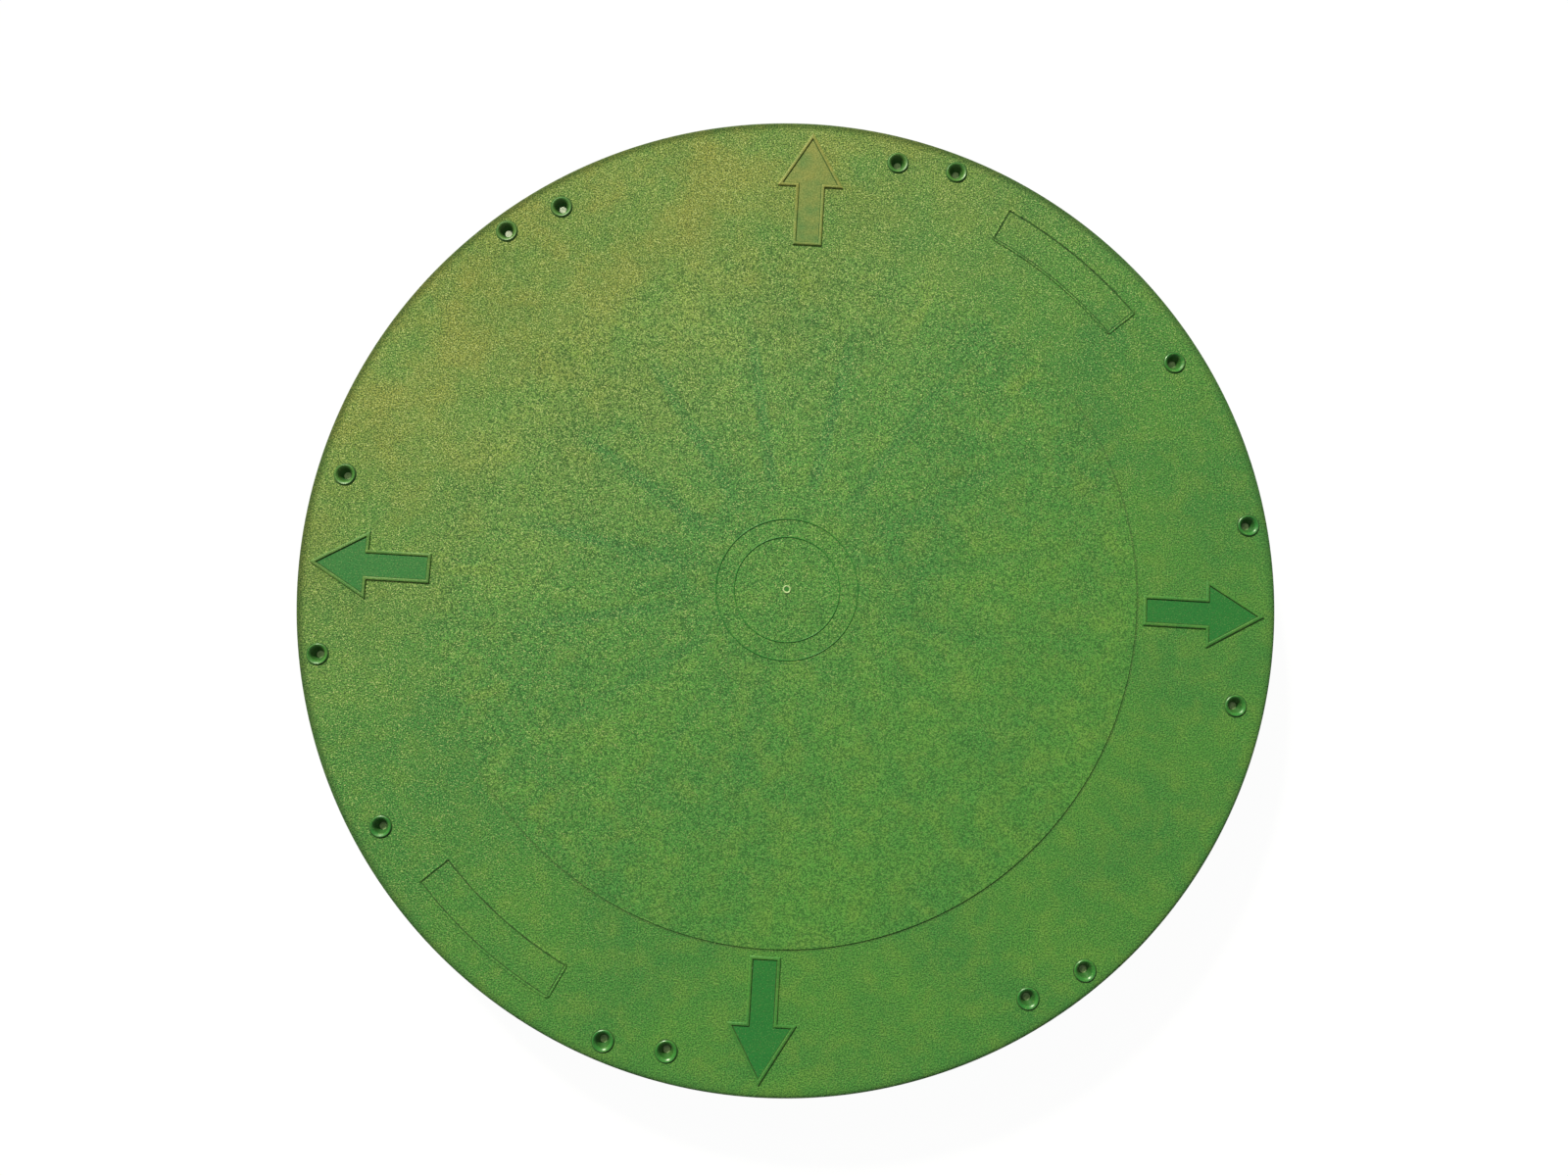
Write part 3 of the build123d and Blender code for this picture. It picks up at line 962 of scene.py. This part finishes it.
class COVER_OT_underside(Operator):
    """Locating ring, landing ring with its webs, ring ribs and radial ribs under the skin"""

    bl_idname = "cover.underside"
    bl_label = "Underside"

    def execute(self, context):
        sizes = context.scene.cover_sizes
        under = skin_underside(sizes)
        root = under + SINK
        locating = sizes.locating_outer_radius
        foot = locating - LOCATING_DRAW_IN
        foot_level = sizes.locating_foot_level
        finished(turned("locating_ring", [
            (locating - LOCATING_ROOT_WALL, root, 0),
            (locating - LOCATING_ROOT_WALL, under, 0),
            (foot - LOCATING_FOOT_WALL, foot_level, FOOT_ROUNDING),
            (foot, foot_level, FOOT_ROUNDING),
            (locating, under, 0),
            (locating, root, 0),
        ]), smooth_plastic(context))
        landing = sizes.landing_inner_radius
        level = sizes.landing_level
        finished(turned("landing_ring", [
            (landing, root, 0),
            (landing, level, 0.3 * MM),
            (landing + LANDING_WALL, level, 0.3 * MM),
            (landing + LANDING_WALL, root, 0),
        ]), smooth_plastic(context))
        half = sizes.rib_thickness / 2
        low = sizes.rib_foot_level
        for name, radius in (("ring_rib", sizes.ring_rib_radius), ("hub_ring", sizes.hub_ring_radius)):
            finished(turned(name, [
                (radius - half, root, 0),
                (radius - half, low, RIB_ROUNDING),
                (radius + half, low, RIB_ROUNDING),
                (radius + half, root, 0),
            ], steps=RIB_RING_STEPS), smooth_plastic(context))

        # The ribs end inside the locating ring's wall. Their feet stand a hair above those of the ring ribs,
        # so that no two faces lie in one plane.
        far = locating - LOCATING_ROOT_WALL / 2
        near = sizes.hub_ring_radius
        foot_of_ribs = low + 0.15 * MM
        long_rib = bar("long_rib", far - near, sizes.rib_thickness, foot_of_ribs, root, RIB_DRAFT)
        round_edges(long_rib, lambda a, b: along(a, b) and max(a.z, b.z) < foot_of_ribs + SAME, RIB_ROUNDING)
        place(long_rib, (near, 0, 0), -math.pi / 2)
        finished(repeated(long_rib, "long_ribs", sizes.rib_count, sizes.rib_angle), smooth_plastic(context))

        # A short rib rises from nothing, so the near end of its foot is drawn outwards
        short_rib = bar(
            "short_rib", far - SHORT_RIB_START, sizes.rib_thickness, foot_of_ribs, root, RIB_DRAFT
        )
        bpy.ops.object.mode_set(mode="EDIT")
        select_edges(short_rib, lambda a, b: max(a.z, b.z) < foot_of_ribs + SAME and max(a.x, b.x) < SAME)
        bpy.ops.transform.translate(value=(SHORT_RIB_RUN_OUT, 0, 0))
        bpy.ops.object.mode_set(mode="OBJECT")
        round_edges(
            short_rib,
            lambda a, b: abs(a.y - b.y) < 1 * MM and min(a.z, b.z) < foot_of_ribs + SAME,
            RIB_ROUNDING,
        )
        place(short_rib, (SHORT_RIB_START, 0, 0), -math.pi / 2)
        finished(
            repeated(short_rib, "short_ribs", sizes.rib_count, sizes.rib_angle + math.pi / sizes.rib_count),
            smooth_plastic(context),
        )

        # The webs end inside the walls of the landing ring and the skirt
        web_from = landing + LANDING_WALL / 2
        web_to = sizes.skirt_inner_radius + 2.5 * MM
        web_foot = level + 0.1 * MM
        web = bar("landing_web", web_to - web_from, WEB_THICKNESS, web_foot, root, WEB_DRAFT)
        round_edges(web, lambda a, b: along(a, b) and max(a.z, b.z) < web_foot + SAME, WEB_ROUNDING)
        place(web, (web_from, 0, 0), -math.pi / 2)
        finished(repeated(web, "landing_webs", sizes.web_count, 0), smooth_plastic(context))
        return {"FINISHED"}


class COVER_OT_rim_seal(Operator):
    """Foam seal in the groove under the rim, crowned where it presses on the riser"""

    bl_idname = "cover.rim_seal"
    bl_label = "Rim seal"

    def execute(self, context):
        sizes = context.scene.cover_sizes
        inner = sizes.locating_outer_radius + 0.3 * MM
        outer = SEAL_HIGH[0]
        low = SEAL_LOW[2]
        high = skin_underside(sizes)
        seal = turned("rim_seal", [
            (inner, high, 0.3 * MM),
            (inner, low, 1.9 * MM),
            (outer, low, 1.9 * MM),
            (outer, high, 0.3 * MM),
        ])
        finished(seal, kept(context, skinned_foam), stands_for="rim_gasket")
        return {"FINISHED"}


class COVER_OT_studio(Operator):
    """White floor, soft lamps and the camera that took the photograph"""

    bl_idname = "cover.studio"
    bl_label = "Studio"

    def execute(self, context):
        deselect()
        bpy.ops.mesh.primitive_plane_add(size=FLOOR_SIZE, location=(0, 0, 0))
        floor = bpy.context.object
        floor.name = floor.data.name = "paper_floor"
        floor.data.materials.append(kept(context, white_paper))
        for name, kind, where, spread, strength, tint in LAMPS:
            bpy.ops.object.light_add(type=kind, location=where)
            lamp = bpy.context.object
            lamp.name = lamp.data.name = name
            lamp.data.energy = strength
            lamp.data.color = tint
            lamp.rotation_euler = (-Vector(where)).to_track_quat("-Z", "Y").to_euler()
            if kind == "AREA":
                lamp.data.shape = "ELLIPSE"
                lamp.data.size = spread
                lamp.data.size_y = spread * WINDOW_FLATNESS
            else:
                lamp.data.angle = spread

        world = bpy.data.worlds.new("white_room")
        context.scene.world = world
        world.use_nodes = True
        tree = world.node_tree
        tree.nodes.clear()
        path = node(tree, "ShaderNodeLightPath").outputs
        seen = calculated(tree, "MAXIMUM", path["Is Camera Ray"], path["Is Transmission Ray"])
        room = node(tree, "ShaderNodeBackground", {"Color": ROOM, "Strength": ROOM_STRENGTH}).outputs[0]
        white = node(tree, "ShaderNodeBackground", {"Color": (1, 1, 1, 1), "Strength": 1.0}).outputs[0]
        sky = node(tree, "ShaderNodeMixShader", {0: seen, 1: room, 2: white}).outputs[0]
        node(tree, "ShaderNodeOutputWorld", {"Surface": sky})

        # The camera stands close above the cover with a short lens, as the photograph's perspective shows
        bpy.ops.object.camera_add(location=CAMERA_PLACE)
        camera = bpy.context.object
        camera.name = camera.data.name = "camera"
        camera.rotation_euler = [math.radians(degrees) for degrees in CAMERA_TURN]
        camera.data.sensor_width = 36.0
        camera.data.lens = CAMERA_LENS
        camera.data.clip_start = 0.01
        context.scene.camera = camera
        context.scene.view_settings.view_transform = "Standard"
        return {"FINISHED"}


class COVER_PT_panel(Panel):
    """Lists the cover's operators and sizes"""

    bl_idname = "COVER_PT_panel"
    bl_label = "Riser Cover"
    bl_space_type = "VIEW_3D"
    bl_region_type = "UI"
    bl_category = "Riser Cover"

    def draw(self, context):
        column = self.layout.column(align=True)
        for operator in OPERATORS:
            column.operator(operator.bl_idname)
        for group in (context.scene.cover_sizes, context.scene.cover_colours):
            box = self.layout.box().column(align=True)
            for name in type(group).__annotations__:
                box.prop(group, name)


OPERATORS = (
    COVER_OT_studio,
    COVER_OT_skin,
    COVER_OT_screw_recesses,
    COVER_OT_arrows,
    COVER_OT_curved_frames,
    COVER_OT_roundel,
    COVER_OT_underside,
    COVER_OT_rim_seal,
)
CLASSES = (CoverSizes, CoverColours) + OPERATORS + (COVER_PT_panel,)


def register():
    """Adds the add-on's classes and the scene's sizes and colours."""
    for cls in CLASSES:
        bpy.utils.register_class(cls)
    bpy.types.Scene.cover_sizes = PointerProperty(type=CoverSizes)
    bpy.types.Scene.cover_colours = PointerProperty(type=CoverColours)


def unregister():
    """Takes them away again."""
    del bpy.types.Scene.cover_colours
    del bpy.types.Scene.cover_sizes
    for cls in reversed(CLASSES):
        bpy.utils.unregister_class(cls)


def main():
    """Builds the cover with every operator in turn."""
    register()
    for operator in OPERATORS:
        group, name = operator.bl_idname.split(".")
        getattr(getattr(bpy.ops, group), name)()
    deselect()
    bpy.context.view_layer.update()


if __name__ == "__main__":
    main()
